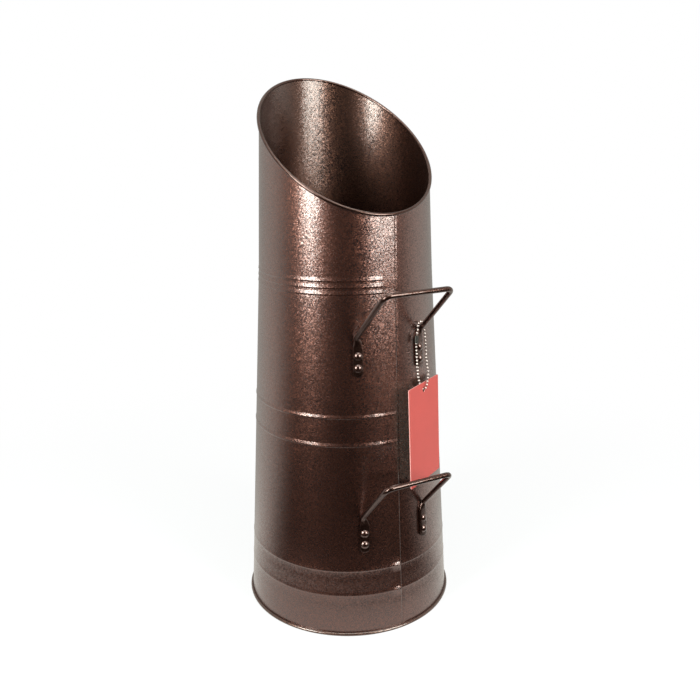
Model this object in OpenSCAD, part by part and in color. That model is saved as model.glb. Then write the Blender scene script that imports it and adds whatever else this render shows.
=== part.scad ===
// Tall coal scuttle with a slanting mouth. Millimetres, +Z up, handles towards -Y.
// The origin is on the body's axis, on the floor that the foot stands on.

/* [Body sheet] */
// Outer radius of the rolled foot, the widest round of the body
foot_r = 105; // [100:0.5:110]
// How far the rolled foot and rim stand out from the wall
roll_proud = 2.1; // [1.9:0.1:2.6]
// Outer radius of the wall at its gauge height
wall_top_r = 75.9; // [70:0.1:82]
// Height at which the upper wall radius is gauged
wall_gauge_z = 520; // [500:5:560]
// Outer radius of the wall at the middle one of the upper ridges, where the taper changes
wall_neck_r = 83.4; // [78:0.1:88]
// Thickness of the steel sheet
sheet_t = 0.8; // [0.6:0.05:1.1]
// Height of the mouth's middle above the floor
mouth_z = 458; // [440:1:480]
// Slant of the mouth from level, in degrees
mouth_slant = 36.6; // [30:0.2:40]
// Turn of the lap seam's free edge from the middle of the handles, in degrees
seam_turn = 4.2; // [0:0.1:8]
// Width of the sheet's overlap at the seam
seam_lap = 12; // [8:0.5:16]

/* [Pressed ridges] */
// Height of a ridge's crest above the wall
ridge_h = 0.8; // [0.4:0.05:1.2]
// Width of a ridge
ridge_w = 4; // [3:0.1:5]
// Height of the lowest ridge
low_ridge_z = 42.5; // [36:0.5:48]
// Distance between the two low ridges
low_ridge_gap = 25.4; // [20:0.2:30]
// Height of the first middle ridge
mid_ridge_z = 191.6; // [180:0.2:200]
// Distance between the two middle ridges
mid_ridge_gap = 26.6; // [20:0.2:32]
// Height of the first of the three upper ridges
top_ridge_z = 331.3; // [327:0.1:336]
// Distance from one upper ridge to the next
top_ridge_pitch = 5.85; // [5.2:0.05:7]

/* [Rolled edges and base] */
// Diameter of the wire inside the rolled rim
rim_wire_d = 1.8; // [1.4:0.1:2.2]
// Diameter of the wire inside the rolled foot
foot_wire_d = 1.8; // [1.4:0.1:2.2]
// Depth of the flat on which the rolled foot stands
foot_flat = 0.3; // [0.15:0.05:0.5]
// Height of the base plate's upper face above the floor
plate_z = 11; // [9:0.5:20]
// Thickness of the base plate
plate_t = 0.8; // [0.6:0.05:1.2]

/* [Handles] */
// Height of the upper handle's rivets, midway between the pair
upper_handle_z = 269.6; // [262:0.2:276]
// Height of the lower handle's rivets, midway between the pair
lower_handle_z = 100.2; // [96:0.2:108]
// Diameter of the handle rod
rod_d = 4.8; // [4.4:0.1:5.4]
// Distance between the middles of a handle's two legs at the grip
grip_w = 67.2; // [64:0.2:72]
// How far in the middle of a leg's foot is from the middle of the leg
foot_inset = 0.9; // [0:0.1:2]
// How far the upper grip's middle stands out from the wall at the rivets
upper_grip_reach = 50.4; // [42:0.2:54]
// How far the lower grip's middle stands out from the wall at the rivets
lower_grip_reach = 44.6; // [40:0.2:54]
// How far the grip's middle is above the rivets' middle
grip_rise = 68.6; // [60:0.2:72]
// Bend radius at the grip's corners, on the rod's middle line
grip_bend_r = 7; // [5:0.5:12]
// How far above the rivets' middle the rod bends away from the wall
crook_rise = 22; // [20:0.5:25]
// Width of the flattened foot of a leg
pad_w = 9; // [8.4:0.1:9.2]
// Thickness of the flattened foot of a leg
pad_t = 2.8; // [2.2:0.1:3.2]
// How far the foot reaches below the rivets' middle
pad_drop = 13.5; // [12.5:0.5:16]

/* [Rivets] */
// Distance between the two rivets of a foot
rivet_gap = 11; // [9.5:0.1:12]
// Diameter of the domed head
rivet_head_d = 7.8; // [6.6:0.1:8]
// Height of the domed head
rivet_head_h = 2; // [1.4:0.1:2.2]
// Diameter of the shank
rivet_shank_d = 4; // [3:0.1:4.4]
// Diameter of the flattened end inside the wall
rivet_tail_d = 6.4; // [5.6:0.1:7]
// Thickness of the flattened end inside the wall
rivet_tail_h = 1.2; // [0.8:0.1:1.8]

/* [Swing tag] */
// Width of the card
card_w = 57.5; // [50:0.5:60]
// Height of the card
card_h = 96; // [80:0.5:100]
// Thickness of the card
card_t = 0.8; // [0.4:0.1:1]
// Radius of the card's corners
card_corner_r = 1.5; // [0.5:0.1:3]
// Distance of the hole's middle below the card's upper edge
card_hole_drop = 7; // [5.5:0.1:8]
// Diameter of the card's hole
card_hole_d = 5; // [4.6:0.1:6]
// Turn of the card's face about the body's axis, in degrees
card_turn = 29; // [26:0.5:30]
// Clearance between the wall and the card's lower edge as it hangs
card_gap = 4.35; // [3:0.05:8]
// Drop from the rod's middle, where the chain lies on it, to the card's hole
chain_drop = 56.2; // [52:0.2:60]
// Diameter of a chain ball
ball_d = 2.4; // [2:0.1:2.4]
// Distance from one chain ball to the next
ball_pitch = 3.2; // [3:0.05:3.5]
// Diameter of the links between the balls
link_d = 1; // [0.7:0.1:1.2]
// Length of the clasp that closes the chain
clasp_l = 7; // [6:0.5:8]
// Wall thickness of the clasp
clasp_t = 0.5; // [0.35:0.05:0.6]

/* [Hidden] */
RIVET_NAMES = [for (h = ["upper", "lower"], side = ["left", "right"], row = ["top", "bottom"])
    str(h, "_", side, "_", row, "_rivet")];
$fn = 96;

BRONZE = "#5a3a30";
STEEL = "#c9c9c9";
CARD_RED = "#e0605a";

fit = 0.1;          // clearance between pieces that are pressed or riveted together
wire_fit = 0.05;    // clearance round a wire in its roll
seat_gap = 0.3;     // clearance between the chain and what it hangs on
overlap = 0.1;      // how far fused bodies reach into each other
far = 400;          // larger than the object's half width

// ---- The wall's shape ----
rim_roll_r = rim_wire_d / 2 + sheet_t;
foot_roll_r = foot_wire_d / 2 + sheet_t;
wall_foot_r = foot_r - roll_proud;
foot_roll_z = foot_roll_r - foot_flat;
neck_z = top_ridge_z + top_ridge_pitch;
lip_reach = wall_top_r * 1.1;
wall_end_z = mouth_z + tan(mouth_slant) * lip_reach;

// Outer radius of the plain wall at height z: one taper up to the neck, a gentler one above it
function wall_r(z) = z < neck_z
    ? wall_foot_r + (wall_neck_r - wall_foot_r) * z / neck_z
    : wall_neck_r + (wall_top_r - wall_neck_r) * (z - neck_z) / (wall_gauge_z - neck_z);

// Lean of the plain wall from upright at height z, in degrees, positive where it narrows upwards
function wall_lean(z) = atan((wall_r(z - 1) - wall_r(z + 1)) / 2);

ridges = [low_ridge_z, low_ridge_z + low_ridge_gap,
    mid_ridge_z, mid_ridge_z + mid_ridge_gap,
    for (i = [0:2]) top_ridge_z + i * top_ridge_pitch];
ridge_steps = 4;

// One ridge's crest line as [height, how far it stands out]
function ridge_knots(z) = [for (i = [0:ridge_steps])
    let (a = 180 * i / ridge_steps) [z - ridge_w / 2 * cos(a), ridge_h * sin(a)]];

wall_knots = concat([[foot_roll_z, 0]], [for (z = ridges) each ridge_knots(z)], [[wall_end_z, 0]]);

// The wall's outer line, moved outwards by out
function wall_line(out) = [for (k = wall_knots) [wall_r(k[0]) + k[1] + out, k[0]]];
function reversed(list) = [for (i = [len(list) - 1:-1:0]) list[i]];

module sheet_outline(inner, outer) {
    polygon(concat(wall_line(outer), reversed(wall_line(inner))));
}

// Everything above the slanting mouth, with its plane lowered by drop
module above_mouth(drop) {
    translate([0, 0, mouth_z - drop])
        rotate([mouth_slant, 0, 0])
            translate([-far, -far, 0])
                cube([2 * far, 2 * far, far]);
}

// Places children at the wall's outer face: -Y points out of the wall and +Z up along it
module at_wall(turn, z) {
    rotate([0, 0, turn])
        translate([0, -wall_r(z), z])
            rotate([-wall_lean(z), 0, 0])
                children();
}

// ---- Handles, from the wall ----
pad_out = fit;
crook_swell = 1.03;     // how much thicker the rod is where it was bent and flattened
grip_half = grip_w / 2;
pad_half = grip_half - foot_inset;
rod_r = rod_d / 2;
// Turn of a leg's foot about the body's axis, for a handle at height z
function pad_turn(z) = asin(pad_half / (wall_r(z) + pad_t));
function crook_y(z) = -sqrt(pow(wall_r(z + crook_rise) + rod_r + fit, 2) - pow(grip_half, 2));
// How far the grip stands out beyond the crook
function leg_out(z, reach) = crook_y(z) + sqrt(pow(wall_r(z), 2) - pow(pad_half, 2)) + reach;
function leg_l(z, reach) = norm([leg_out(z, reach), grip_rise - crook_rise]);
function leg_tilt(z, reach) = atan2(leg_out(z, reach), grip_rise - crook_rise);

// Places children on one leg's foot
module on_pads(z) {
    for (side = [-1, 1])
        at_wall(side * pad_turn(z), z)
            children();
}

// A round bar along -Y through the wall, for shanks and their holes
module shank(d, inwards, outwards) {
    translate([0, inwards, 0])
        rotate([90, 0, 0])
            cylinder(h = inwards + outwards, d = d);
}

module rivet_holes(z) {
    on_pads(z)
        for (row = [-1, 1])
            translate([0, 0, row * rivet_gap / 2])
                shank(rivet_shank_d + fit, 4 * sheet_t, 2 * pad_t);
}

// ---- Body ----
module body_sheet() {
    rotate_extrude()
        sheet_outline(-sheet_t, 0);
}

// Where the sheet's two edges lie on each other
module seam_strip() {
    lap_turn = 2 * asin(seam_lap / 2 / wall_r(mouth_z / 2));
    rotate([0, 0, seam_turn - 90 - lap_turn])
        rotate_extrude(angle = lap_turn)
            sheet_outline(-overlap, sheet_t);
}

module body_shell() {
    color(BRONZE)
        difference() {
            union() {
                difference() {
                    union() {
                        body_sheet();
                        seam_strip();
                    }
                    above_mouth(rim_roll_r * 0.8);
                }
                rotate_extrude()
                    translate([foot_r - foot_roll_r, foot_roll_z])
                        circle(r = foot_roll_r);
            }
            rotate_extrude()
                translate([foot_r - foot_roll_r, foot_roll_z])
                    circle(r = foot_wire_d / 2 + wire_fit);
            translate([0, 0, -far])
                cylinder(h = far, r = far);
            rivet_holes(upper_handle_z);
            rivet_holes(lower_handle_z);
        }
}

module base_wire() {
    color(STEEL)
        rotate_extrude()
            translate([foot_r - foot_roll_r, foot_roll_z])
                circle(d = foot_wire_d);
}

// A shallow pan turned upside down, its skirt standing on the rolled foot
module base_plate() {
    skirt_z = foot_roll_z + foot_roll_r + fit;
    function inside(z) = wall_r(z) - sheet_t - fit;
    color(BRONZE)
        rotate_extrude()
            polygon([[0, plate_z], [inside(plate_z), plate_z], [inside(skirt_z), skirt_z],
                [inside(skirt_z) - plate_t, skirt_z],
                [inside(plate_z) - plate_t, plate_z - plate_t], [0, plate_z - plate_t]]);
}

// ---- Rolled rim ----
rim_stations = 72;
rim_out = roll_proud - rim_roll_r;

// Height of the mouth's plane where the wall of radius r faces angle a
function mouth_height(r, a) = mouth_z - tan(mouth_slant) * r * cos(a);
// Radius of the rim's middle line at angle a from -Y, found by stepping to where wall and plane meet
function rim_r(a, guess, steps) =
    steps == 0 ? guess : rim_r(a, wall_r(mouth_height(guess, a)) + rim_out, steps - 1);
function rim_point(a) =
    let (r = rim_r(a, wall_r(mouth_z), 5)) [r * sin(a), -r * cos(a), mouth_height(r, a)];

// A round bar of radius r along the rim's middle line
module rim_bar(r, sides) {
    points = [for (i = [0:rim_stations - 1])
        let (a = 360 * i / rim_stations,
            ahead = rim_point(a + 1) - rim_point(a - 1),
            along = ahead / norm(ahead),
            radial = [sin(a), -cos(a), 0],
            square = radial - (radial * along) * along,
            out = square / norm(square),
            up = cross(out, along))
        for (k = [0:sides - 1])
            rim_point(a) + r * (cos(360 * k / sides) * out + sin(360 * k / sides) * up)];
    faces = [for (i = [0:rim_stations - 1], k = [0:sides - 1])
        let (j = (i + 1) % rim_stations, m = (k + 1) % sides)
        each [[i * sides + k, j * sides + m, j * sides + k],
            [i * sides + k, i * sides + m, j * sides + m]]];
    polyhedron(points, faces);
}

module rim_roll() {
    color(BRONZE)
        difference() {
            rim_bar(rim_roll_r, 12);
            rim_bar(rim_wire_d / 2 + 2 * wire_fit, 8);
        }
}

module rim_wire() {
    color(STEEL)
        rim_bar(rim_wire_d / 2, 8);
}

// ---- Handles ----
// The bent rod in the XZ plane: two legs up from z = 0 and the grip across their ends
module bow(leg) {
    straight = leg - grip_bend_r;
    inset = grip_half - grip_bend_r;
    for (side = [0, 1])
        mirror([side, 0, 0]) {
            translate([grip_half, 0, 0])
                cylinder(h = straight, r = rod_r);
            translate([inset, 0, straight])
                rotate([90, 0, 0])
                    rotate_extrude(angle = 90)
                        translate([grip_bend_r, 0])
                            circle(r = rod_r);
        }
    translate([-inset, 0, leg])
        rotate([0, 90, 0])
            cylinder(h = 2 * inset, r = rod_r);
}

// The flattened foot: a strip with a round lower end, its back towards the wall
module pad() {
    rotate([90, 0, 0])
        translate([0, 0, pad_out])
            linear_extrude(pad_t) {
                translate([-pad_w / 2, -pad_drop + pad_w / 2])
                    square([pad_w, pad_drop - pad_w / 2 + crook_rise - rod_d]);
                translate([0, -pad_drop + pad_w / 2])
                    circle(d = pad_w);
            }
}

// Where the round rod turns into the flat foot
module crook(z, side) {
    hull() {
        translate([side * grip_half, crook_y(z), z + crook_rise])
            sphere(r = rod_r * crook_swell, $fn = 32);
        at_wall(side * pad_turn(z), z)
            translate([-pad_w / 2, -pad_out - pad_t, crook_rise - rod_d - 1])
                cube([pad_w, pad_t, 1]);
    }
}

module handle(z, reach) {
    color(BRONZE)
        difference() {
            union() {
                translate([0, crook_y(z), z + crook_rise])
                    rotate([leg_tilt(z, reach), 0, 0])
                        bow(leg_l(z, reach));
                on_pads(z)
                    pad();
                crook(z, -1);
                crook(z, 1);
            }
            rivet_holes(z);
        }
}

module upper_handle() {
    handle(upper_handle_z, upper_grip_reach);
}

module lower_handle() {
    handle(lower_handle_z, lower_grip_reach);
}

// ---- Rivets ----
// A rivet along +Z, with z = 0 at the wall's outer face
module rivet() {
    head_z = pad_out + pad_t + fit / 2;
    tail_z = -sheet_t - fit;
    ball_r = (pow(rivet_head_d / 2, 2) + pow(rivet_head_h, 2)) / (2 * rivet_head_h);
    color(BRONZE) {
        rotate_extrude()
            intersection() {
                translate([0, head_z + rivet_head_h - ball_r])
                    circle(r = ball_r);
                translate([0, head_z])
                    square([rivet_head_d, rivet_head_h * 2]);
            }
        translate([0, 0, tail_z - overlap])
            cylinder(h = head_z - tail_z + 2 * overlap, d = rivet_shank_d);
        translate([0, 0, tail_z - rivet_tail_h])
            cylinder(h = rivet_tail_h, d = rivet_tail_d);
    }
}

// The rivet whose place in RIVET_NAMES is i
module placed_rivet(i) {
    z = i < 4 ? upper_handle_z : lower_handle_z;
    side = floor(i / 2) % 2 == 0 ? -1 : 1;
    row = i % 2 == 0 ? 1 : -1;
    at_wall(side * pad_turn(z), z)
        translate([0, 0, row * rivet_gap / 2])
            rotate([90, 0, 0])
                rivet();
}

// ---- Swing tag ----
// The tag's own frame has the hole's middle at its origin, the card's face towards -Y and +Z up
hang_along = 1;     // how far up the leg from its crook the chain lies
tilt = leg_tilt(upper_handle_z, upper_grip_reach);
loop_r = (rod_r + ball_d / 2 + seat_gap) / (sin(tilt) * cos(card_turn));
loop_middle = [6.2, 5, chain_drop];
hang_point = [grip_half,
    crook_y(upper_handle_z) - hang_along * sin(tilt),
    upper_handle_z + crook_rise + hang_along * cos(tilt)];

// The card hangs with its lower edge clear of the wall, which sets its lean from upright
tag_l = chain_drop + card_h - card_hole_drop;
card_out = wall_r(hang_point[2] - tag_l) + card_gap + card_t / 2;
hang_out = hang_point * [sin(card_turn), -cos(card_turn), 0] + loop_middle[1];
card_lean = asin((card_out - hang_out) / tag_l);

module at_tag() {
    translate(hang_point)
        rotate([-card_lean, 0, card_turn])
            translate(-loop_middle)
                children();
}

hole_r = card_hole_d / 2;
in_hole = hole_r - ball_d / 2 - seat_gap - 0.5;
front = -card_t / 2 - ball_d / 2 - seat_gap;
back = -front;
// The chain's route: over the rod, down past the foot's right, through the hole and up behind
chain_route = concat(
    [for (a = [180:-45:0]) loop_middle + loop_r * [cos(a), 0, sin(a)]],
    [[11.2, 3.4, chain_drop - 9], [9.9, 2.2, chain_drop - 21], [8.2, 0.9, 26],
        [5.6, front - 0.2, 14], [2.4, front - 0.6, 6], [1, front - 0.1, 2.2],
        [0.5, front * 0.55, 0.7], [0, 0, in_hole], [-0.5, back * 0.55, 0.7],
        [-1.2, back + 0.2, 2.4], [-2.8, back + 0.8, 7], [-3.6, back + 1.5, 13],
        [-3.8, 4.3, 26], [-3.4, 4.9, 40], [-1.9, 5.1, 50]]);

function wrap(i) = (i + len(chain_route)) % len(chain_route);
// A smooth closed curve through the route's points, t running from 0 to their number
function route_at(t) =
    let (i = floor(t), f = t - i,
        a = chain_route[wrap(i - 1)], b = chain_route[wrap(i)],
        c = chain_route[wrap(i + 1)], d = chain_route[wrap(i + 2)])
    b + f * ((c - a) / 2 + f * ((a - 2.5 * b + 2 * c - d / 2) + f * ((d - a) / 2 + 1.5 * (b - c))));

route_steps = 12;
samples = len(chain_route) * route_steps;
traced = [for (i = [0:samples]) route_at((i % samples) / route_steps)];
function summed(list, i = 0, sum = 0) =
    i == len(list) - 1 ? [sum] : concat([sum], summed(list, i + 1, sum + norm(list[i + 1] - list[i])));
run = summed(traced);
chain_l = run[samples];
ball_count = round(chain_l / ball_pitch);
// The point at distance s along the chain
function chain_at(s) =
    let (i = max([for (k = [0:samples - 1]) if (run[k] <= s) k]),
        f = (s - run[i]) / (run[i + 1] - run[i]))
    traced[i] + f * (traced[i + 1] - traced[i]);
balls = [for (i = [0:ball_count - 1]) chain_at(i * chain_l / ball_count)];

// A straight bar from one point to another
module bar(from, to, d) {
    v = to - from;
    translate(from)
        rotate([0, acos(v[2] / norm(v)), atan2(v[1], v[0])])
            cylinder(h = norm(v), d = d);
}

module tag_chain() {
    color(STEEL)
        at_tag()
            for (i = [0:ball_count - 1]) {
                translate(balls[i])
                    sphere(d = ball_d, $fn = 24);
                bar(balls[i], balls[(i + 1) % ball_count], link_d, $fn = 16);
            }
}

// The clasp is a split sleeve round the chain, on the strand behind the card
clasp_from_end = 9;
module tag_chain_clasp() {
    middle = chain_at(chain_l - clasp_from_end);
    ahead = chain_at(chain_l - clasp_from_end + 2) - middle;
    along = ahead / norm(ahead);
    bore = ball_d + 2 * fit + 0.1;
    color(STEEL)
        at_tag()
            difference() {
                bar(middle - along * clasp_l / 2, middle + along * clasp_l / 2, bore + 2 * clasp_t);
                bar(middle - along * clasp_l, middle + along * clasp_l, bore);
            }
}

module tag_card() {
    color(CARD_RED)
        at_tag()
            translate([0, card_t / 2, card_hole_drop - card_h / 2])
                rotate([90, 0, 0])
                    linear_extrude(card_t)
                        difference() {
                            union() {
                                square([card_w - 2 * card_corner_r, card_h], center = true);
                                square([card_w, card_h - 2 * card_corner_r], center = true);
                                for (x = [-1, 1], y = [-1, 1])
                                    translate([x * (card_w / 2 - card_corner_r),
                                        y * (card_h / 2 - card_corner_r)])
                                        circle(r = card_corner_r);
                            }
                            translate([0, card_h / 2 - card_hole_drop])
                                circle(d = card_hole_d);
                        }
}

body_shell();
rim_roll();
rim_wire();
base_plate();
base_wire();
upper_handle();
lower_handle();
tag_chain();
tag_chain_clasp();
tag_card();
for (i = [0:len(RIVET_NAMES) - 1])
    placed_rivet(i);
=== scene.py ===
# Coal scuttle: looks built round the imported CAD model, in metres, handles towards -Y
import math

import bmesh
import bpy
from mathutils import Matrix, Vector


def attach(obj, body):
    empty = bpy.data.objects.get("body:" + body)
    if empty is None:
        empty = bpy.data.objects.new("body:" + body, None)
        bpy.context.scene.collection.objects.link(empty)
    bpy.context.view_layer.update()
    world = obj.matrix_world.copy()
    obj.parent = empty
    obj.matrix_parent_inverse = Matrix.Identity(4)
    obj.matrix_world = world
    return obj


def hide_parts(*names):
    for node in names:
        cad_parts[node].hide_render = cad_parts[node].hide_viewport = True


mm = 0.001
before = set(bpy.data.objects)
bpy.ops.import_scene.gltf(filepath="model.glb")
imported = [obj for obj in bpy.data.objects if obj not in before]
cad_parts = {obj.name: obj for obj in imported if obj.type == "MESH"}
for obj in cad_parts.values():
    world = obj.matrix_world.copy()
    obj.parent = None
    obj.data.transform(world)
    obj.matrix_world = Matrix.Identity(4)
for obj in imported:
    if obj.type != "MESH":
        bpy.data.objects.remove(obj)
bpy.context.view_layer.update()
print("frame loaded:", len(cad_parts), "nodes")


def linear(hexColour):  # sRGB hex to linear red, green, blue, alpha
    channels = [int(hexColour[i:i + 2], 16) / 255 for i in (1, 3, 5)]
    return [c / 12.92 if c <= 0.04045 else ((c + 0.055) / 1.055) ** 2.4 for c in channels] + [1]


# settings are the node's own options, values its inputs, links input -> output socket
def addNode(tree, kind, settings=None, values=None, links=None):
    node = tree.nodes.new(kind)
    for name, value in (settings or {}).items():
        setattr(node, name, value)
    for name, value in (values or {}).items():
        node.inputs[name].default_value = value
    for name, output in (links or {}).items():
        tree.links.new(output, node.inputs[name])
    return node


def newMaterial(name):
    material = bpy.data.materials.new(name)
    material.use_nodes = True
    tree = material.node_tree
    tree.nodes.clear()
    place = addNode(tree, "ShaderNodeTexCoord").outputs["Object"]
    return material, tree, place


def finishMaterial(tree, shader):
    addNode(tree, "ShaderNodeOutputMaterial", links={"Surface": shader.outputs[0]})


# A pattern whose cell is size mm wide has this scale on coordinates in metres
def perCell(size):
    return 1 / (size * mm)


# Hammered bronze enamel, sprayed on steel and baked: the lacquer pulls into fine rounded
# grains, and each speck of metal flake lies at its own tilt, so highlights are broad, pale
# and sparkling. Real flakes are finer, drawn a little coarser here so that they show.
hammered = {
    "dark": "#3c130a",
    "light": "#763f2d",
    "tones": (0.2, 1.4),  # sums of flake and cloud that give dark and light
    "cloud": 70,          # mm, broad drifts of darker and lighter paint
    "cloudShare": 0.6,
    "flake": 0.75,        # mm
    "flakeTilt": 0.2,     # spread of the flakes' slopes
    "coatTilt": 0.11,     # and of the lacquer's over them
    "grain": 1.8,         # mm, the hammered grains
    "grainHeight": 0.03,  # mm
    "roughness": 0.35,
    "coatRoughness": 0.24,
    "metallic": 0.97,
    "coatIor": 1.95,      # above plain lacquer's, for the flake that floats in it
}


def hammeredPaint(name, look):
    material, tree, place = newMaterial(name)
    flakes = addNode(tree, "ShaderNodeTexVoronoi", {"feature": "F1"},
                     {"Scale": perCell(look["flake"])}, {"Vector": place})
    flake = addNode(tree, "ShaderNodeSeparateColor", {}, {}, {"Color": flakes.outputs["Color"]})
    grain = addNode(tree, "ShaderNodeTexNoise", {},
                    {"Scale": perCell(look["grain"]), "Detail": 1.0}, {"Vector": place})
    cloud = addNode(tree, "ShaderNodeTexNoise", {},
                    {"Scale": perCell(look["cloud"]), "Detail": 2.0}, {"Vector": place})
    tone = addNode(tree, "ShaderNodeMath", {"operation": "MULTIPLY_ADD"},
                   {1: look["cloudShare"]},
                   {0: cloud.outputs["Fac"], 2: flake.outputs["Red"]})
    tone = addNode(tree, "ShaderNodeMapRange", {},
                   {"From Min": look["tones"][0], "From Max": look["tones"][1]},
                   {"Value": tone.outputs[0]})
    colour = addNode(tree, "ShaderNodeMix", {"data_type": "RGBA"},
                     {"A": linear(look["dark"]), "B": linear(look["light"])},
                     {"Factor": tone.outputs[0]})
    bump = addNode(tree, "ShaderNodeBump", {},
                   {"Strength": 1.0, "Distance": look["grainHeight"] * mm},
                   {"Height": grain.outputs["Fac"]})
    slope = addNode(tree, "ShaderNodeVectorMath", {"operation": "SUBTRACT"}, {1: (0.5, 0.5, 0.5)},
                    {0: flakes.outputs["Color"]})
    facets = []  # the flakes' own normal, and the lacquer's
    for tilt in (look["flakeTilt"], look["coatTilt"]):
        tilted = addNode(tree, "ShaderNodeVectorMath", {"operation": "MULTIPLY_ADD"},
                         {1: [tilt] * 3},
                         {0: slope.outputs["Vector"], 2: bump.outputs["Normal"]})
        facet = addNode(tree, "ShaderNodeVectorMath", {"operation": "NORMALIZE"}, {},
                        {0: tilted.outputs["Vector"]})
        facets.append(facet.outputs["Vector"])
    shader = addNode(tree, "ShaderNodeBsdfPrincipled", {},
                     {"Metallic": look["metallic"], "Roughness": look["roughness"],
                      "Coat Weight": 1.0, "Coat Roughness": look["coatRoughness"],
                      "Coat IOR": look["coatIor"]},
                     {"Base Color": colour.outputs[2], "Normal": facets[0],
                      "Coat Normal": facets[1]})
    finishMaterial(tree, shader)
    return material


# Bare metal with a fine grain, whose size is in mm
def plainMetal(name, hexColour, roughness, grainSize=0.5, bumpStrength=0.05):
    material, tree, place = newMaterial(name)
    grain = addNode(tree, "ShaderNodeTexNoise", {},
                    {"Scale": perCell(grainSize), "Detail": 2.0}, {"Vector": place})
    gloss = addNode(tree, "ShaderNodeMapRange", {},
                    {"To Min": roughness * 0.8, "To Max": roughness * 1.25},
                    {"Value": grain.outputs["Fac"]})
    bump = addNode(tree, "ShaderNodeBump", {},
                   {"Strength": bumpStrength, "Distance": 0.05 * mm},
                   {"Height": grain.outputs["Fac"]})
    shader = addNode(tree, "ShaderNodeBsdfPrincipled", {},
                     {"Metallic": 1.0, "Base Color": linear(hexColour)},
                     {"Roughness": gloss.outputs[0], "Normal": bump.outputs["Normal"]})
    finishMaterial(tree, shader)
    return material


# Coated tag board: ink under a thin varnish, with faint mottling from the board's fibres
board = {
    "fibre": 1.6,            # mm
    "fibreHeight": 0.04,     # mm
    "cloud": 18,             # mm
    "shades": (0.94, 1.05),  # darkest and lightest mottling
}


def printedBoard(name, hexColour, roughness):
    material, tree, place = newMaterial(name)
    fibres = addNode(tree, "ShaderNodeTexNoise", {},
                     {"Scale": perCell(board["fibre"]), "Detail": 4.0}, {"Vector": place})
    cloud = addNode(tree, "ShaderNodeTexNoise", {},
                    {"Scale": perCell(board["cloud"]), "Detail": 1.0}, {"Vector": place})
    mottle = addNode(tree, "ShaderNodeMath", {"operation": "ADD"}, {},
                     {0: fibres.outputs["Fac"], 1: cloud.outputs["Fac"]})
    shade = addNode(tree, "ShaderNodeMapRange", {},
                    {"From Min": 0.5, "From Max": 1.5,
                     "To Min": board["shades"][0], "To Max": board["shades"][1]},
                    {"Value": mottle.outputs[0]})
    colour = addNode(tree, "ShaderNodeHueSaturation", {},
                     {"Color": linear(hexColour)}, {"Value": shade.outputs[0]})
    bump = addNode(tree, "ShaderNodeBump", {},
                   {"Strength": 0.12, "Distance": board["fibreHeight"] * mm},
                   {"Height": fibres.outputs["Fac"]})
    shader = addNode(tree, "ShaderNodeBsdfPrincipled", {},
                     {"Roughness": roughness, "IOR": 1.5},
                     {"Base Color": colour.outputs[0], "Normal": bump.outputs["Normal"]})
    finishMaterial(tree, shader)
    return material


bodyPaint = hammeredPaint("hammeredBronzeEnamel", hammered)
# The same enamel on the inner faces, painted greyer and with a duller coat: painted reflection of
# the grey surroundings the inside sees, and painted shade that dims its highlights
insidePaintedLightEnamel = hammeredPaint("bronzeEnamelInsideWithPaintedLight", {
    **hammered, "dark": "#36180f", "light": "#6a402f", "coatIor": 1.75, "coatTilt": 0.09})
# The same enamel lies smoother on the thin rod and the rolled rim
rodPaint = hammeredPaint("smoothBronzeEnamel", {
    **hammered, "dark": "#40231b", "light": "#5f4037", "roughness": 0.28, "coatRoughness": 0.14,
    "coatIor": 1.42, "flakeTilt": 0.12, "coatTilt": 0.1, "grainHeight": 0.02})
rivetPaint = hammeredPaint("bronzeEnamelOnRivets", {
    **hammered, "light": "#6e4a3f", "roughness": 0.3, "coatRoughness": 0.18, "coatIor": 1.65,
    "flakeTilt": 0.05, "coatTilt": 0.05})
drawnWire = plainMetal("drawnSteelWire", "#9a9894", 0.35, 0.4, 0.1)
nickelPlate = plainMetal("nickelPlatedBeads", "#e4cfc9", 0.3)
# Painted shade: nickel darkened for the chain's links, standing in for the shade between the
# balls, and for the sleeve, whose darkness is a painted dark reflection
shadeDarkNickel = plainMetal("nickelDarkenedAsPaintedShade", "#3c3835", 0.4)
redInk = printedBoard("redInkOnTagBoard", "#ad3c36", 0.42)
boardEdge = printedBoard("cutTagBoard", "#cf8983", 0.7)
boardBack = printedBoard("bareTagBoard", "#b7b0a8", 0.75)
print("materials made")


def newPiece(name, bm, materials, standsFor, rides="scuttle"):
    mesh = bpy.data.meshes.new(name)
    for face in bm.faces:
        face.smooth = True
    bm.to_mesh(mesh)
    bm.free()
    piece = bpy.data.objects.new(name, mesh)
    bpy.context.scene.collection.objects.link(piece)
    for material in materials:
        mesh.materials.append(material)
    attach(piece, rides)
    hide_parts(standsFor)
    return piece


def sharpen(piece, angle):  # edges steeper than angle, in degrees, stay crisp
    mesh = piece.data
    bm = bmesh.new()
    bm.from_mesh(mesh)
    for edge in bm.edges:
        if len(edge.link_faces) == 2:
            edge.smooth = edge.calc_face_angle(0) < math.radians(angle)
    bm.to_mesh(mesh)
    bm.free()


# Extrudes a ring through stations; place(station, angle) gives a vertex of its ring
def sweepRing(stations, sides, place, closed=False):
    bm = bmesh.new()
    angles = [2 * math.pi * k / sides for k in range(sides)]
    firstRing = ring = bmesh.ops.create_circle(bm, segments=sides, radius=1)["verts"]
    firstEdges = edges = bm.edges[:]
    for vert, angle in zip(ring, angles):
        vert.co = place(stations[0], angle)
    for station in stations[1:]:
        made = set(bmesh.ops.extrude_edge_only(bm, edges=edges)["geom"])
        edges = [g for g in made if isinstance(g, bmesh.types.BMEdge)
                 and all(v in made for v in g.verts)]
        rungs = [e for vert in ring for e in vert.link_edges
                 if e.other_vert(vert) in made and e not in edges]
        ring = [rung.other_vert(vert) for vert, rung in zip(ring, rungs)]
        for vert, angle in zip(ring, angles):
            vert.co = place(station, angle)
    if closed:
        bmesh.ops.bridge_loops(bm, edges=firstEdges + edges)
    return bm, firstRing


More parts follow.
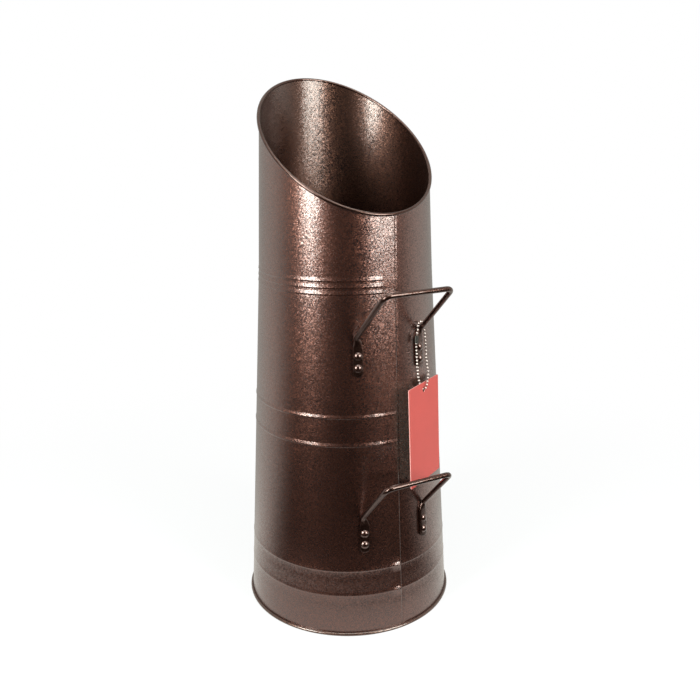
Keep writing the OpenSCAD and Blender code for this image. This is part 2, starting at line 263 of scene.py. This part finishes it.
def copyOf(node):  # a merged copy of a CAD node's mesh
    bm = bmesh.new()
    bm.from_mesh(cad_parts[node].data)
    bmesh.ops.remove_doubles(bm, verts=bm.verts, dist=0.002 * mm)
    return bm


def smooth(a, b, x):  # 0 at a, 1 at b, eased
    t = min(max((x - a) / (b - a), 0), 1)
    return t * t * (3 - 2 * t)


# The body: one rolled sheet, lapped beside the handles. Lengths in mm, turns in degrees
# from the handles towards the photograph's right
body = {
    "footRadius": 105.0, "neckRadius": 83.4, "neckHeight": 337.15,
    "topRadius": 75.9, "topHeight": 520.0, "gauge": 0.8,
    "proud": 2.1,         # how far the rolled foot and rim stand out from the plain wall
    "footRollRadius": 1.7, "footRollHeight": 1.74, "wallStart": 3.6,
    "curlTurns": (125, -166, -18),  # round the foot's roll, from the cut edge to the wall
    "footTop": 6.0,       # below it the lap lifts by only this share of its lift:
    "footLift": 0.15,
    "mouthHeight": 458.0, "mouthSlant": 36.6,
    "rollRadius": 1.7,    # of the rim's roll in the CAD model
    "rollSeen": 1.55,     # and as thin as the photograph shows it
    "edgeDrop": 0.6,      # the cut edge lies this share of rollSeen below the roll's middle
    "shoulder": 352.0,    # above it the sheet's rows lean over to the slant of the mouth
    "mouthRows": 24, "mouthStep": 6, "rowStep": 9, "ridgeStep": 1 / 3, "turnSteps": 240,
}
# A ridge is highest at its crest, from -1 at its lower edge to 1 at its upper. The turns count
# from the seam, above 0 on the lap's side, and say where a change starts and is full
ridges = {
    "low": {"heights": (42.5, 67.9), "rises": (0.3, 0.38), "crest": -0.2, "width": 5.6,
            "swell": 0.85, "swellFrom": (6.5, 3.6), "swellTo": (-0.1, 1.2)},
    "middle": {"heights": (191.6, 218.2), "rises": (0.5, 0.5), "crest": -0.4, "width": 4.0,
               "flatter": 0.45, "flatterFrom": (-30, -4)},
    "upper": {"heights": (331.3, 337.15, 343.0), "rises": (0.32, 0.32, 0.32), "crest": -0.67,
              "width": 4.0, "faint": 0.25, "faintFrom": (-4, -14), "fullFrom": (-55, -120)},
    "offLap": (8.4, 9.8),
}
seam = {
    "turn": 4.2, "lap": 7.3,
    "skew": 2.0, "skewHeights": (460, 80),  # mm, where the skew starts and is full
    "flatEnd": 8.6, "lift": 0.9,      # the sheet's last stretch isn't rolled, so it stands off
    "fold": 1.6, "foldWidth": 1.3,    # mm, radius and width of its folded edge
    "tuck": 0.5, "layerGap": 0.05,    # mm, of the end beneath
    "tuckFrom": (-3, -1), "tuckTo": (0, 1.2),
    "mmPerDegree": 1.5,               # along the wall at the handles' heights
    "tuckColumns": (-1.5, -1, -0.5, 0, 0.3, 0.6, 0.9, 1.2, 2),
    "foldColumns": (1.2, 0.87, 0.7, 0.55, 0.42, 0.3, 0.2, 0.12, 0.05, 0),
}
wallFoot = body["footRadius"] - body["proud"]


def wallRadius(z):  # outer face of the plain wall, in mm
    if z < body["neckHeight"]:
        return wallFoot + (body["neckRadius"] - wallFoot) * z / body["neckHeight"]
    rise = (z - body["neckHeight"]) / (body["topHeight"] - body["neckHeight"])
    return body["neckRadius"] + (body["topRadius"] - body["neckRadius"]) * rise


def wallLean(z):  # the wall's slope inwards, in radians
    return math.atan((wallRadius(z - 1) - wallRadius(z + 1)) / 2)


def lowRise(rise, fromSeam):  # ends in a small pinched swell on the lap
    low = ridges["low"]
    swell = smooth(*low["swellFrom"], fromSeam) * smooth(*low["swellTo"], fromSeam)
    return rise + low["swell"] * swell


def middleRise(rise, fromSeam):  # flatter on the lap
    middle = ridges["middle"]
    onLap = 1 - smooth(*ridges["offLap"], fromSeam)
    return rise * (1 - middle["flatter"] * onLap * smooth(*middle["flatterFrom"], fromSeam))


def upperRise(rise, fromSeam):  # dies away on the lap, is faint past it and full further round
    upper = ridges["upper"]
    past = upper["faint"] * smooth(*upper["faintFrom"], fromSeam)
    past += (1 - upper["faint"]) * smooth(*upper["fullFrom"], fromSeam)
    return rise * (smooth(*ridges["offLap"], fromSeam) + past)


def bead(across, crest):  # a ridge's section, eased up to its crest and straight from there
    return smooth(-1, crest, across) if across < crest else (1 - across) / (1 - crest)


def ridgeOut(z, turn):  # how far the ridges stand out, in mm
    fromSeam = seam["turn"] - (turn if turn < 180 else turn - 360)
    out = 0
    for group, riseAt in (("low", lowRise), ("middle", middleRise), ("upper", upperRise)):
        spec = ridges[group]
        for height, rise in zip(spec["heights"], spec["rises"]):
            across = (z - height) / (spec["width"] / 2)
            if abs(across) < 1:
                out += riseAt(rise, fromSeam) * bead(across, spec["crest"])
    return out


# The rolled sheet's end stays flat, so it stands off over the other end, and its edge is
# folded down; the end beneath is tucked in by as much
def lapOut(turn):
    fromEdge = turn - seam["turn"] - (360 if turn > 180 else 0)
    lift = seam["lift"] * max(1 + fromEdge / seam["flatEnd"], 0) ** 2
    if turn > 180:
        fold = seam["fold"]
        onFold = max(fromEdge * seam["mmPerDegree"] + seam["foldWidth"], 0)
        return lift - fold + math.sqrt(fold ** 2 - onFold ** 2)
    if fromEdge < 0:
        return -max(seam["tuck"] * smooth(*seam["tuckFrom"], fromEdge),
                    body["gauge"] + seam["layerGap"] - lift)
    return -seam["tuck"] * (1 - smooth(*seam["tuckTo"], fromEdge))


def onMouth(angle, below=0):  # radius and height of the roll's middle, or of what lies below
    slope = math.tan(math.radians(body["mouthSlant"]))
    radius = body["topRadius"]
    for _ in range(8):
        height = body["mouthHeight"] - below - slope * radius * math.cos(angle)
        radius = wallRadius(height) + body["proud"] - body["rollRadius"]
    return radius, height


def sheetLine():  # the sheet's section, from the curled foot up, as radius and height
    half, shoulder = body["gauge"] / 2, body["shoulder"]
    curl = body["footRollRadius"] - half
    middle = body["footRadius"] - body["footRollRadius"]
    curled = [math.radians(a) for a in range(*body["curlTurns"])]
    heights = {body["wallStart"]}
    for group in ("low", "middle", "upper"):
        for ridge in ridges[group]["heights"]:
            heights |= {ridge + body["ridgeStep"] * k for k in range(-7, 8)}
    marks = sorted(heights) + [shoulder]
    for low, high in zip(marks, marks[1:]):
        parts = int((high - low) / body["rowStep"]) + 1
        heights |= {low + (high - low) * k / parts for k in range(parts)}
    heights |= {shoulder + body["mouthStep"] * k for k in range(body["mouthRows"] + 1)}
    return ([(middle + curl * math.cos(a), body["footRollHeight"] + curl * math.sin(a))
             for a in curled] + [(wallRadius(h) - half, h) for h in sorted(heights)])


def sheetTurns():  # the sheet's columns, closer together at both ends
    start, edge = seam["turn"] - seam["lap"], seam["turn"]
    step = (360 + seam["lap"]) / body["turnSteps"]
    turns = {start + step * k for k in range(body["turnSteps"])}
    turns |= {edge + x for x in seam["tuckColumns"]}
    turns |= {edge + 360 - x for x in seam["foldColumns"]}
    return sorted(turns)


def onSheet(turn, radius, z):  # where a point of the plain section comes to lie
    shoulder = body["shoulder"]
    angle = math.radians(turn - seam["skew"] * smooth(*seam["skewHeights"], z))
    if z > shoulder:
        _, top = onMouth(angle, body["rollSeen"] * body["edgeDrop"])
        z = shoulder + (top - shoulder) * (z - shoulder) / (body["mouthRows"] * body["mouthStep"])
        radius = wallRadius(z) - body["gauge"] / 2
    lift = lapOut(turn)
    radius += lift * body["footLift"] if z < body["footTop"] else lift + ridgeOut(z, turn)
    return Vector((radius * math.sin(angle), -radius * math.cos(angle), z))


def bodySheet():
    bm = bmesh.new()
    turned = bm.verts.layers.float.new("turned")
    turns = sheetTurns()
    verts = [bm.verts.new((radius * mm, 0, height * mm)) for radius, height in sheetLine()]
    edges = [bm.edges.new(pair) for pair in zip(verts, verts[1:])]
    for vert in verts:
        vert[turned] = turns[0]
    for turn in turns[1:]:
        made = bmesh.ops.extrude_edge_only(bm, edges=edges)["geom"]
        edges = [g for g in made if isinstance(g, bmesh.types.BMEdge)]
        for vert in made:
            if isinstance(vert, bmesh.types.BMVert):
                vert[turned] = turn
    for vert in bm.verts:
        vert.co = onSheet(vert[turned], vert.co.x / mm, vert.co.z / mm) * mm
    for edge in bm.edges:
        edge.smooth = not edge.is_boundary
    bmesh.ops.recalc_face_normals(bm, faces=bm.faces)
    piece = newPiece("body_sheet", bm, [bodyPaint, insidePaintedLightEnamel], "body_shell")
    wall = piece.modifiers.new("gauge", "SOLIDIFY")
    wall.thickness = body["gauge"] * mm
    wall.offset = 0
    wall.material_offset = 1  # the inner faces take the inside paint


bodySheet()
print("body sheet made")


def rimPoint(angle):  # middle of the roll, in mm, angle from -Y towards +X
    radius, height = onMouth(angle)
    return Vector((radius * math.sin(angle), -radius * math.cos(angle), height))


def rimRoll():
    def place(angle, turn):
        along = (rimPoint(angle + 0.02) - rimPoint(angle - 0.02)).normalized()
        radial = Vector((math.sin(angle), -math.cos(angle), 0))
        out = (radial - radial.dot(along) * along).normalized()
        up = out.cross(along)
        around = math.cos(turn) * out + math.sin(turn) * up
        return (rimPoint(angle) + body["rollSeen"] * around) * mm

    steps = 216
    bm, _ = sweepRing([2 * math.pi * k / steps for k in range(steps)], 20, place, closed=True)
    bmesh.ops.recalc_face_normals(bm, faces=bm.faces)
    newPiece("rolled_rim", bm, [rodPaint], "rim_roll")


rimRoll()
print("rim made")


# Round rod bent to a bow, its ends forged flat for two rivets each. Lengths in mm
handle = {
    "rod": 4.8, "gripWidth": 67.2, "rise": 68.6, "bend": 7.0, "gap": 0.1,
    "footInset": 0.9, "footWidth": 9.0, "footThick": 2.8, "footDrop": 13.5,
    "crookRise": 22.0,    # the crook's height over the foot's middle
    "crookFoot": 5,       # the rod leaves the wall this far below the crook
    "crookBends": (12, 6),
    "flatShort": 10,      # the flat part ends this far below the crook
    "forged": 11,         # and turns into round rod over this length
    "tip": 1.2, "tipThick": 0.8,   # the foot's last stretch thins to this share
    "step": 2.2, "fineAbove": 4,   # between stations, up to this far above the crook
    "cornerRun": 12,      # how far below the grip its corner begins to turn
    "upper": {"height": 269.6, "reach": 50.4}, "lower": {"height": 100.2, "reach": 44.6},
}


def footTurn(z):
    return math.asin((handle["gripWidth"] / 2 - handle["footInset"])
                     / (wallRadius(z) + handle["footThick"]))


def wallFrame(side, z):  # at the wall's outer face: -Y points out, +Z up the wall, in mm
    return (Matrix.Rotation(side * footTurn(z), 4, "Z")
            @ Matrix.Translation((0, -wallRadius(z), z))
            @ Matrix.Rotation(-wallLean(z), 4, "X"))


def roundedPath(points, radii, steps=10):  # the path's inner corners turned into arcs
    path = [points[0]]
    for before, corner, after, radius in zip(points, points[1:], points[2:], radii):
        a, b = (before - corner).normalized(), (after - corner).normalized()
        half = a.angle(b) / 2
        cut = radius / math.tan(half)
        centre = corner + (a + b).normalized() * radius / math.sin(half)
        start, end = corner + a * cut - centre, corner + b * cut - centre
        axis = start.cross(end).normalized()
        sweep = start.angle(end)
        path += [centre + Matrix.Rotation(sweep * k / steps, 3, axis) @ start
                 for k in range(steps + 1)]
    return path + [points[-1]]


def handleCorners(spec):  # the right leg's crook and corner, and the grip's middle
    z, half = spec["height"], handle["gripWidth"] / 2
    gripY = -math.sqrt(wallRadius(z) ** 2 - (half - handle["footInset"]) ** 2) - spec["reach"]
    crookRadius = wallRadius(z + handle["crookRise"]) + handle["rod"] / 2 + handle["gap"]
    crookY = -math.sqrt(crookRadius ** 2 - half ** 2)
    return (Vector((half, crookY, z + handle["crookRise"])),
            Vector((half, gripY, z + handle["rise"])), Vector((0, gripY, z + handle["rise"])))


def runLengths(path):  # how far along the path each of its points lies
    lengths = [0]
    for a, b in zip(path, path[1:]):
        lengths.append(lengths[-1] + (b - a).length)
    return lengths


def handlePath(spec):  # half the handle's middle line, from the foot's end to the grip's middle
    wall = wallFrame(1, spec["height"])
    out = handle["gap"] + handle["footThick"] / 2
    footEnd = wall @ Vector((0, -out, -handle["footDrop"]))
    crookFoot = wall @ Vector((0, -out, handle["crookRise"] - handle["crookFoot"]))
    crook, corner, grip = handleCorners(spec)
    path = roundedPath([footEnd, crookFoot, crook, corner, grip],
                       [*handle["crookBends"], handle["bend"]])
    dense = [path[0]]
    for a, b in zip(path, path[1:]):  # more stations where the section changes
        fine = b.z < crook.z + handle["fineAbove"]
        parts = math.ceil((b - a).length / handle["step"]) if fine else 1
        dense += [a + (b - a) * k / parts for k in range(1, parts + 1)]
    return dense


# Sections along half the handle: middle, the two ways across, half the width and thickness,
# and the power that makes it round at 2 and nearly square at 7
def handleSections(spec):
    path = handlePath(spec)
    lengths = runLengths(path)
    foot, rod, half = handle["footWidth"] / 2, handle["rod"] / 2, handle["gripWidth"] / 2
    crook, corner, _ = handleCorners(spec)
    legWay = (corner - crook).normalized()
    footAcross = (wallFrame(1, spec["height"]).to_3x3() @ Vector((1, 0, 0))).normalized()
    flatEnd = handle["footDrop"] + handle["crookRise"] - handle["flatShort"]

    def along(distance):
        for i in range(len(path) - 1):
            if lengths[i + 1] >= distance:
                return path[i] + (path[i + 1] - path[i]) * (
                    (distance - lengths[i]) / (lengths[i + 1] - lengths[i]))
        return path[-1]

    sections = []
    roundEnd = [0.15, 0.6, 1.3, 2.2, 3.3, foot]
    for s in roundEnd + [length for length in lengths if length > foot + 0.5]:
        tangent = (along(min(s + 0.4, lengths[-1])) - along(max(s - 0.4, 0))).normalized()
        toRod = smooth(flatEnd, flatEnd + handle["forged"], s)
        across = footAcross.lerp(Vector((1, 0, 0)), toRod)
        if s > lengths[-1] - half - handle["cornerRun"]:  # across turns down the leg
            turnIn = 1 - abs(tangent.dot(legWay))
            across = Vector((1, 0, 0)).lerp(legWay, smooth(0, 1, turnIn))
        across = (across - across.dot(tangent) * tangent).normalized()
        width = foot + (rod - foot) * toRod
        if s < foot:
            width = math.sqrt(foot ** 2 - (foot - s) ** 2)
        thick = handle["footThick"] / 2 * (1 - toRod) + rod * toRod
        if s < handle["tip"]:
            thick *= handle["tipThick"] + (1 - handle["tipThick"]) * s / handle["tip"]
        sections.append((along(s), across, tangent.cross(across), width, thick,
                         2 + 5 * (1 - toRod) ** 2))
    return sections


def rodHandle(name, node, spec):
    def place(section, turn):
        centre, across, outward, width, thick, power = section
        c, s = math.cos(turn), math.sin(turn)
        x = math.copysign(abs(c) ** (2 / power), c) * width
        y = math.copysign(abs(s) ** (2 / power), s) * thick
        return (centre + across * x + outward * y) * mm

    bm, first = sweepRing(handleSections(spec), 24, place)
    bmesh.ops.contextual_create(bm, geom=first)
    bmesh.ops.mirror(bm, geom=bm.verts[:] + bm.edges[:] + bm.faces[:], axis="X",
                     merge_dist=0.05 * mm)
    bmesh.ops.recalc_face_normals(bm, faces=bm.faces)
    sharpen(newPiece(name, bm, [rodPaint], node), 50)


rodHandle("upper_rod_handle", "upper_handle", handle["upper"])
rodHandle("lower_rod_handle", "lower_handle", handle["lower"])
print("handles made")


rivets = {  # lengths in mm
    "gap": 11.0, "head": 7.8, "headHeight": 2.0, "brim": 0.15, "shank": 4.0,
    "tail": 6.4, "tailHeight": 1.2, "tailSide": 0.7, "tailBevel": 0.4, "fit": 0.1,
}


def rivet(name, side, z, row):
    head, height, tail = rivets["head"] / 2, rivets["headHeight"], rivets["tail"] / 2
    seat = handle["gap"] + handle["footThick"] + rivets["fit"] / 2
    tailTop = -body["gauge"] - rivets["fit"]
    tailEdge = tailTop - rivets["tailSide"]
    ball = (head ** 2 + height ** 2) / (2 * height)  # radius of the dome
    reach = math.asin(head / ball)
    line = [(ball * math.sin(reach * k / 9), seat + height - ball + ball * math.cos(reach * k / 9))
            for k in range(10)]
    line += [(head - rivets["brim"], seat), (rivets["shank"] / 2, seat),
             (rivets["shank"] / 2, tailTop), (tail, tailTop), (tail, tailEdge),
             (tail - rivets["tailBevel"], tailEdge - rivets["tailBevel"]),
             (0, tailTop - rivets["tailHeight"])]
    bm = bmesh.new()
    verts = [bm.verts.new((r * mm, 0, h * mm)) for r, h in line]
    edges = [bm.edges.new(pair) for pair in zip(verts, verts[1:])]
    bmesh.ops.spin(bm, geom=verts + edges, axis=(0, 0, 1), cent=(0, 0, 0), angle=2 * math.pi,
                   steps=28, use_merge=True)
    bmesh.ops.remove_doubles(bm, verts=bm.verts, dist=0.002 * mm)
    place = wallFrame(side, z) @ Matrix.Translation((0, 0, row * rivets["gap"] / 2))
    place = place @ Matrix.Rotation(math.pi / 2, 4, "X")
    place.translation *= mm
    bmesh.ops.transform(bm, matrix=place, verts=bm.verts)
    bmesh.ops.recalc_face_normals(bm, faces=bm.faces)
    sharpen(newPiece(name + "_dome", bm, [rivetPaint], name), 40)


for level in ("upper", "lower"):
    for side, sideName in ((-1, "left"), (1, "right")):
        for row, rowName in ((1, "top"), (-1, "bottom")):
            rivet(f"{level}_{sideName}_{rowName}_rivet", side, handle[level]["height"], row)
print("rivets made")


# The swing tag: a card on a ball chain, looped over the upper handle's right leg. In mm,
# turn in degrees. The balls and links are drawn finer than the CAD model's
tag = {
    "turn": 29.0, "gap": 4.35, "thick": 0.8, "tall": 96.0, "holeDrop": 7.0, "hole": 2.5,
    "ball": 2.2, "cadBall": 2.4, "pitch": 3.2, "link": 0.6, "seat": 0.3,
    "drop": 56.2, "loopSide": 6.2, "loopBehind": 5.0, "along": 1.0,
}


def tagFrame():  # the tag's own frame: its hole at the origin, the card facing -Y, in mm
    crook, corner, _ = handleCorners(handle["upper"])
    leg = corner - crook
    tilt = math.atan2(-leg.y, leg.z)
    hang = crook + leg.normalized() * tag["along"]
    turn = math.radians(tag["turn"])
    loop = Vector((tag["loopSide"], tag["loopBehind"], tag["drop"]))
    clear = handle["rod"] / 2 + tag["cadBall"] / 2 + tag["seat"]
    radius = clear / (math.sin(tilt) * math.cos(turn))
    length = tag["drop"] + tag["tall"] - tag["holeDrop"]
    cardOut = wallRadius(hang.z - length) + tag["gap"] + tag["thick"] / 2
    hangOut = hang.x * math.sin(turn) - hang.y * math.cos(turn) + loop.y
    lean = math.asin((cardOut - hangOut) / length)
    place = (Matrix.Translation(hang) @ Matrix.Rotation(turn, 4, "Z")
             @ Matrix.Rotation(-lean, 4, "X") @ Matrix.Translation(-loop))
    return place, loop, radius


def eased(a, b, c, d, f):  # from b to c as f goes from 0 to 1, on a curve through all four
    return b + f * ((c - a) / 2 + f * ((a - 2.5 * b + 2 * c - d / 2)
                                       + f * ((d - a) / 2 + 1.5 * (b - c))))


def chainBalls(loop, radius):  # over the rod, down, through the hole and up behind, in mm
    front = -tag["thick"] / 2 - tag["cadBall"] / 2 - tag["seat"]
    back = -front
    drop = tag["drop"]
    route = [loop + radius * Vector((math.cos(a), 0, math.sin(a)))
             for a in (math.radians(d) for d in (180, 135, 90, 45, 0))]
    route += [Vector(point) for point in (
        (11.2, 3.4, drop - 9), (9.9, 2.2, drop - 21), (8.2, 0.9, 26), (5.6, front - 0.2, 14),
        (2.4, front - 0.6, 6), (1, front - 0.1, 2.2), (0.5, front * 0.55, 0.7),
        (0, 0, tag["hole"] - tag["cadBall"] / 2 - tag["seat"] - 0.5), (-0.5, back * 0.55, 0.7),
        (-1.2, back + 0.2, 2.4), (-2.8, back + 0.8, 7), (-3.6, back + 1.5, 13),
        (-3.8, 4.3, 26), (-3.4, 4.9, 40), (-1.9, 5.1, 50))]
    count, parts = len(route), 12
    traced = []
    for i in range(count):
        near = [route[(i + k) % count] for k in (-1, 0, 1, 2)]
        traced += [eased(*near, k / parts) for k in range(parts)]
    traced.append(traced[0])
    lengths = runLengths(traced)
    number = round(lengths[-1] / tag["pitch"])
    balls = []
    for s in (lengths[-1] * k / number for k in range(number)):
        i = max(k for k in range(len(traced) - 1) if lengths[k] <= s)
        share = (s - lengths[i]) / (lengths[i + 1] - lengths[i])
        balls.append(traced[i].lerp(traced[i + 1], share))
    return balls


def ballChain():
    place, loop, radius = tagFrame()
    balls = [place @ ball for ball in chainBalls(loop, radius)]
    bm = bmesh.new()
    for ball, following in zip(balls, balls[1:] + balls[:1]):
        bmesh.ops.create_icosphere(bm, subdivisions=3, radius=tag["ball"] / 2 * mm,
                                   matrix=Matrix.Translation(ball * mm))
        way = following - ball
        turn = way.to_track_quat("Z", "Y").to_matrix().to_4x4()
        shell = set(bm.faces)
        bmesh.ops.create_cone(bm, segments=10, radius1=tag["link"] / 2 * mm,
                              radius2=tag["link"] / 2 * mm, depth=way.length * mm,
                              matrix=Matrix.Translation((ball + way / 2) * mm) @ turn)
        for face in set(bm.faces) - shell:
            face.material_index = 1  # the links are painted dark, as shade between the balls
    newPiece("ball_chain", bm, [nickelPlate, shadeDarkNickel], "tag_chain", "chain")


def tagBoard():
    place, _, _ = tagFrame()
    facing = place.to_3x3() @ Vector((0, -1, 0))
    bm = copyOf("tag_card")
    for face in bm.faces:
        towards = face.normal.dot(facing)
        face.material_index = 0 if towards > 0.7 else 2 if towards < -0.7 else 1
    finishes = [redInk, boardEdge, boardBack]
    sharpen(newPiece("tag_board", bm, finishes, "tag_card", "tag"), 35)


def chainSleeve():
    bm = copyOf("tag_chain_clasp")
    # the sleeve takes the darkened nickel: a painted dark reflection
    piece = newPiece("chain_sleeve", bm, [shadeDarkNickel], "tag_chain_clasp", "chain")
    sharpen(piece, 40)


tagBoard()
ballChain()
chainSleeve()
print("tag made")


def dress(node, material):  # a finish for a CAD node that shows as it is
    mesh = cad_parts[node].data
    mesh.materials.clear()
    mesh.materials.append(material)


# the base plate takes the inside copy, with its painted reflection and painted shade
dress("base_plate", insidePaintedLightEnamel)
dress("base_wire", drawnWire)
dress("rim_wire", drawnWire)


# The camera, the lamps and the white surroundings. Lengths in metres, angles in degrees,
# turns as cosines from the backdrop's middle
studio = {
    "eye": (-0.36092, -0.68023, 0.47667), "forward": (0.45463, 0.847, -0.2755),
    "roll": 0.605, "lens": 41.35,
    "backdrop": 1.0,      # how bright the camera sees it
    "ambient": 0.2,       # and how much it lights what isn't glossy
    "inGloss": 0.8, "darkSide": 0.012, "sideTurns": (-0.5, 0.2),
    "middleTurns": (0.35, 0.95), "middleLight": 0.55,
    "floor": "#f4f3f2", "paperInGloss": "#fffef5",
    "paperMiddle": (-0.02, 0, 0), "paperReach": 0.178, "paperFade": 0.03,
    "shadowSeen": 0.14, "shadowReach": (0.15, 0.8),
    "lampColour": (0.88, 1.0, 0.95), "lampAim": 0.25,
}
softBoxes = {  # bearing from -Y towards +X, power in watts
    "rightSoftBox": {"bearing": 18, "distance": 1.6, "height": 0.82, "width": 0.72,
                     "tall": 0.95, "power": 31},
    "leftStrip": {"bearing": -73, "distance": 1.5, "height": 0.84, "width": 0.48,
                  "tall": 1.0, "power": 35},
    "topSoftBox": {"bearing": -10, "distance": 0.5, "height": 1.7, "width": 1.2,
                   "tall": 1.2, "power": 16},
}
awayFromLens = Vector((studio["forward"][0], studio["forward"][1], 0)).normalized()


def addCamera():
    camera = bpy.data.objects.new("camera", bpy.data.cameras.new("camera"))
    bpy.context.scene.collection.objects.link(camera)
    camera.data.lens = studio["lens"]
    camera.data.sensor_width = 36
    camera.data.clip_start = 0.01
    turn = Vector(studio["forward"]).to_track_quat("-Z", "Y").to_matrix().to_4x4()
    roll = Matrix.Rotation(math.radians(-studio["roll"]), 4, "Z")
    camera.matrix_world = Matrix.Translation(studio["eye"]) @ turn @ roll
    bpy.context.scene.camera = camera


def softBox(name, spec):  # faces the body's axis
    lamp = bpy.data.lights.new(name, "AREA")
    lamp.shape = "RECTANGLE"
    lamp.size = spec["width"]
    lamp.size_y = spec["tall"]
    lamp.energy = spec["power"]
    lamp.color = studio["lampColour"]
    box = bpy.data.objects.new(name, lamp)
    bpy.context.scene.collection.objects.link(box)
    a = math.radians(spec["bearing"])
    spot = Vector((math.sin(a), -math.cos(a), 0)) * spec["distance"]
    spot.z = spec["height"]
    look = (Vector((0, 0, studio["lampAim"])) - spot).to_track_quat("-Z", "Y")
    box.matrix_world = Matrix.Translation(spot) @ look.to_matrix().to_4x4()


def easedRange(tree, value, start, end, low, high):
    return addNode(tree, "ShaderNodeMapRange", {"interpolation_type": "SMOOTHSTEP"},
                   {"From Min": start, "From Max": end, "To Min": low, "To Max": high},
                   {"Value": value}).outputs[0]


# How bright gloss sees the surroundings along a direction: white at the sides and behind,
# where the middle of the backdrop gets less light, and dim on the lens's side
def roomLight(tree, direction):
    behind = addNode(tree, "ShaderNodeVectorMath", {"operation": "DOT_PRODUCT"},
                     {1: awayFromLens}, {0: direction}).outputs["Value"]
    sides = easedRange(tree, behind, *studio["sideTurns"], studio["darkSide"], studio["inGloss"])
    middle = easedRange(tree, behind, *studio["middleTurns"], 1.0, studio["middleLight"])
    return addNode(tree, "ShaderNodeMath", {"operation": "MULTIPLY"}, {},
                   {0: sides, 1: middle}).outputs[0]


def paperColour(tree, ray):  # white, a little warmer in reflections
    paper = addNode(tree, "ShaderNodeMix", {"data_type": "RGBA"},
                    {"A": (1, 1, 1, 1), "B": linear(studio["paperInGloss"])},
                    {"Factor": ray.outputs["Is Glossy Ray"]})
    return paper.outputs[2]


# White paper with a soft shadow round the foot. Gloss sees it bright as far as paperReach
# from paperMiddle, and as the room beyond
def floorPaper():
    material, tree, place = newMaterial("paleFloor")
    ray = addNode(tree, "ShaderNodeLightPath")
    matt = addNode(tree, "ShaderNodeBsdfDiffuse", {}, {"Color": linear(studio["floor"])})
    reach = addNode(tree, "ShaderNodeVectorMath", {"operation": "DISTANCE"},
                    {1: studio["paperMiddle"]}, {0: place}).outputs["Value"]
    paperEnd, fade = studio["paperReach"], studio["paperFade"]
    paper = easedRange(tree, reach, paperEnd + fade, paperEnd - fade, 0.0, studio["inGloss"])
    way = addNode(tree, "ShaderNodeVectorMath", {"operation": "NORMALIZE"}, {}, {0: place})
    gloss = addNode(tree, "ShaderNodeMath", {"operation": "MAXIMUM"}, {},
                    {0: paper, 1: roomLight(tree, way.outputs["Vector"])})
    strength = addNode(tree, "ShaderNodeMix", {"data_type": "FLOAT"}, {"B": studio["backdrop"]},
                       {"Factor": ray.outputs["Is Camera Ray"], "A": gloss.outputs[0]})
    glow = addNode(tree, "ShaderNodeEmission", {}, {},
                   {"Color": paperColour(tree, ray), "Strength": strength.outputs[0]})
    white = easedRange(tree, reach, *studio["shadowReach"], 1 - studio["shadowSeen"], 1.0)
    seen = addNode(tree, "ShaderNodeMath", {"operation": "MULTIPLY_ADD"}, {},
                   {0: ray.outputs["Is Camera Ray"], 1: white, 2: ray.outputs["Is Glossy Ray"]})
    mix = addNode(tree, "ShaderNodeMixShader", {}, {},
                  {0: seen.outputs[0], 1: matt.outputs[0], 2: glow.outputs[0]})
    finishMaterial(tree, mix)
    return material


def addFloor():
    bm = bmesh.new()
    bmesh.ops.create_grid(bm, x_segments=1, y_segments=1, size=20)
    mesh = bpy.data.meshes.new("floor")
    bm.to_mesh(mesh)
    bm.free()
    floor = bpy.data.objects.new("floor", mesh)
    bpy.context.scene.collection.objects.link(floor)
    mesh.materials.append(floorPaper())


def addWorld():
    world = bpy.data.worlds.new("studio")
    bpy.context.scene.world = world
    world.use_nodes = True
    tree = world.node_tree
    tree.nodes.clear()
    ray = addNode(tree, "ShaderNodeLightPath")
    way = addNode(tree, "ShaderNodeTexCoord")
    lit = addNode(tree, "ShaderNodeMix", {"data_type": "FLOAT"}, {"A": studio["ambient"]},
                  {"Factor": ray.outputs["Is Glossy Ray"],
                   "B": roomLight(tree, way.outputs["Generated"])})
    strength = addNode(tree, "ShaderNodeMix", {"data_type": "FLOAT"},
                       {"B": studio["backdrop"]},
                       {"Factor": ray.outputs["Is Camera Ray"], "A": lit.outputs[0]})
    sky = addNode(tree, "ShaderNodeBackground", {}, {},
                  {"Color": paperColour(tree, ray), "Strength": strength.outputs[0]})
    addNode(tree, "ShaderNodeOutputWorld", links={"Surface": sky.outputs[0]})


addCamera()
addFloor()
addWorld()
for name, spec in softBoxes.items():
    softBox(name, spec)
bpy.context.scene.view_settings.view_transform = "Standard"
print("studio made")
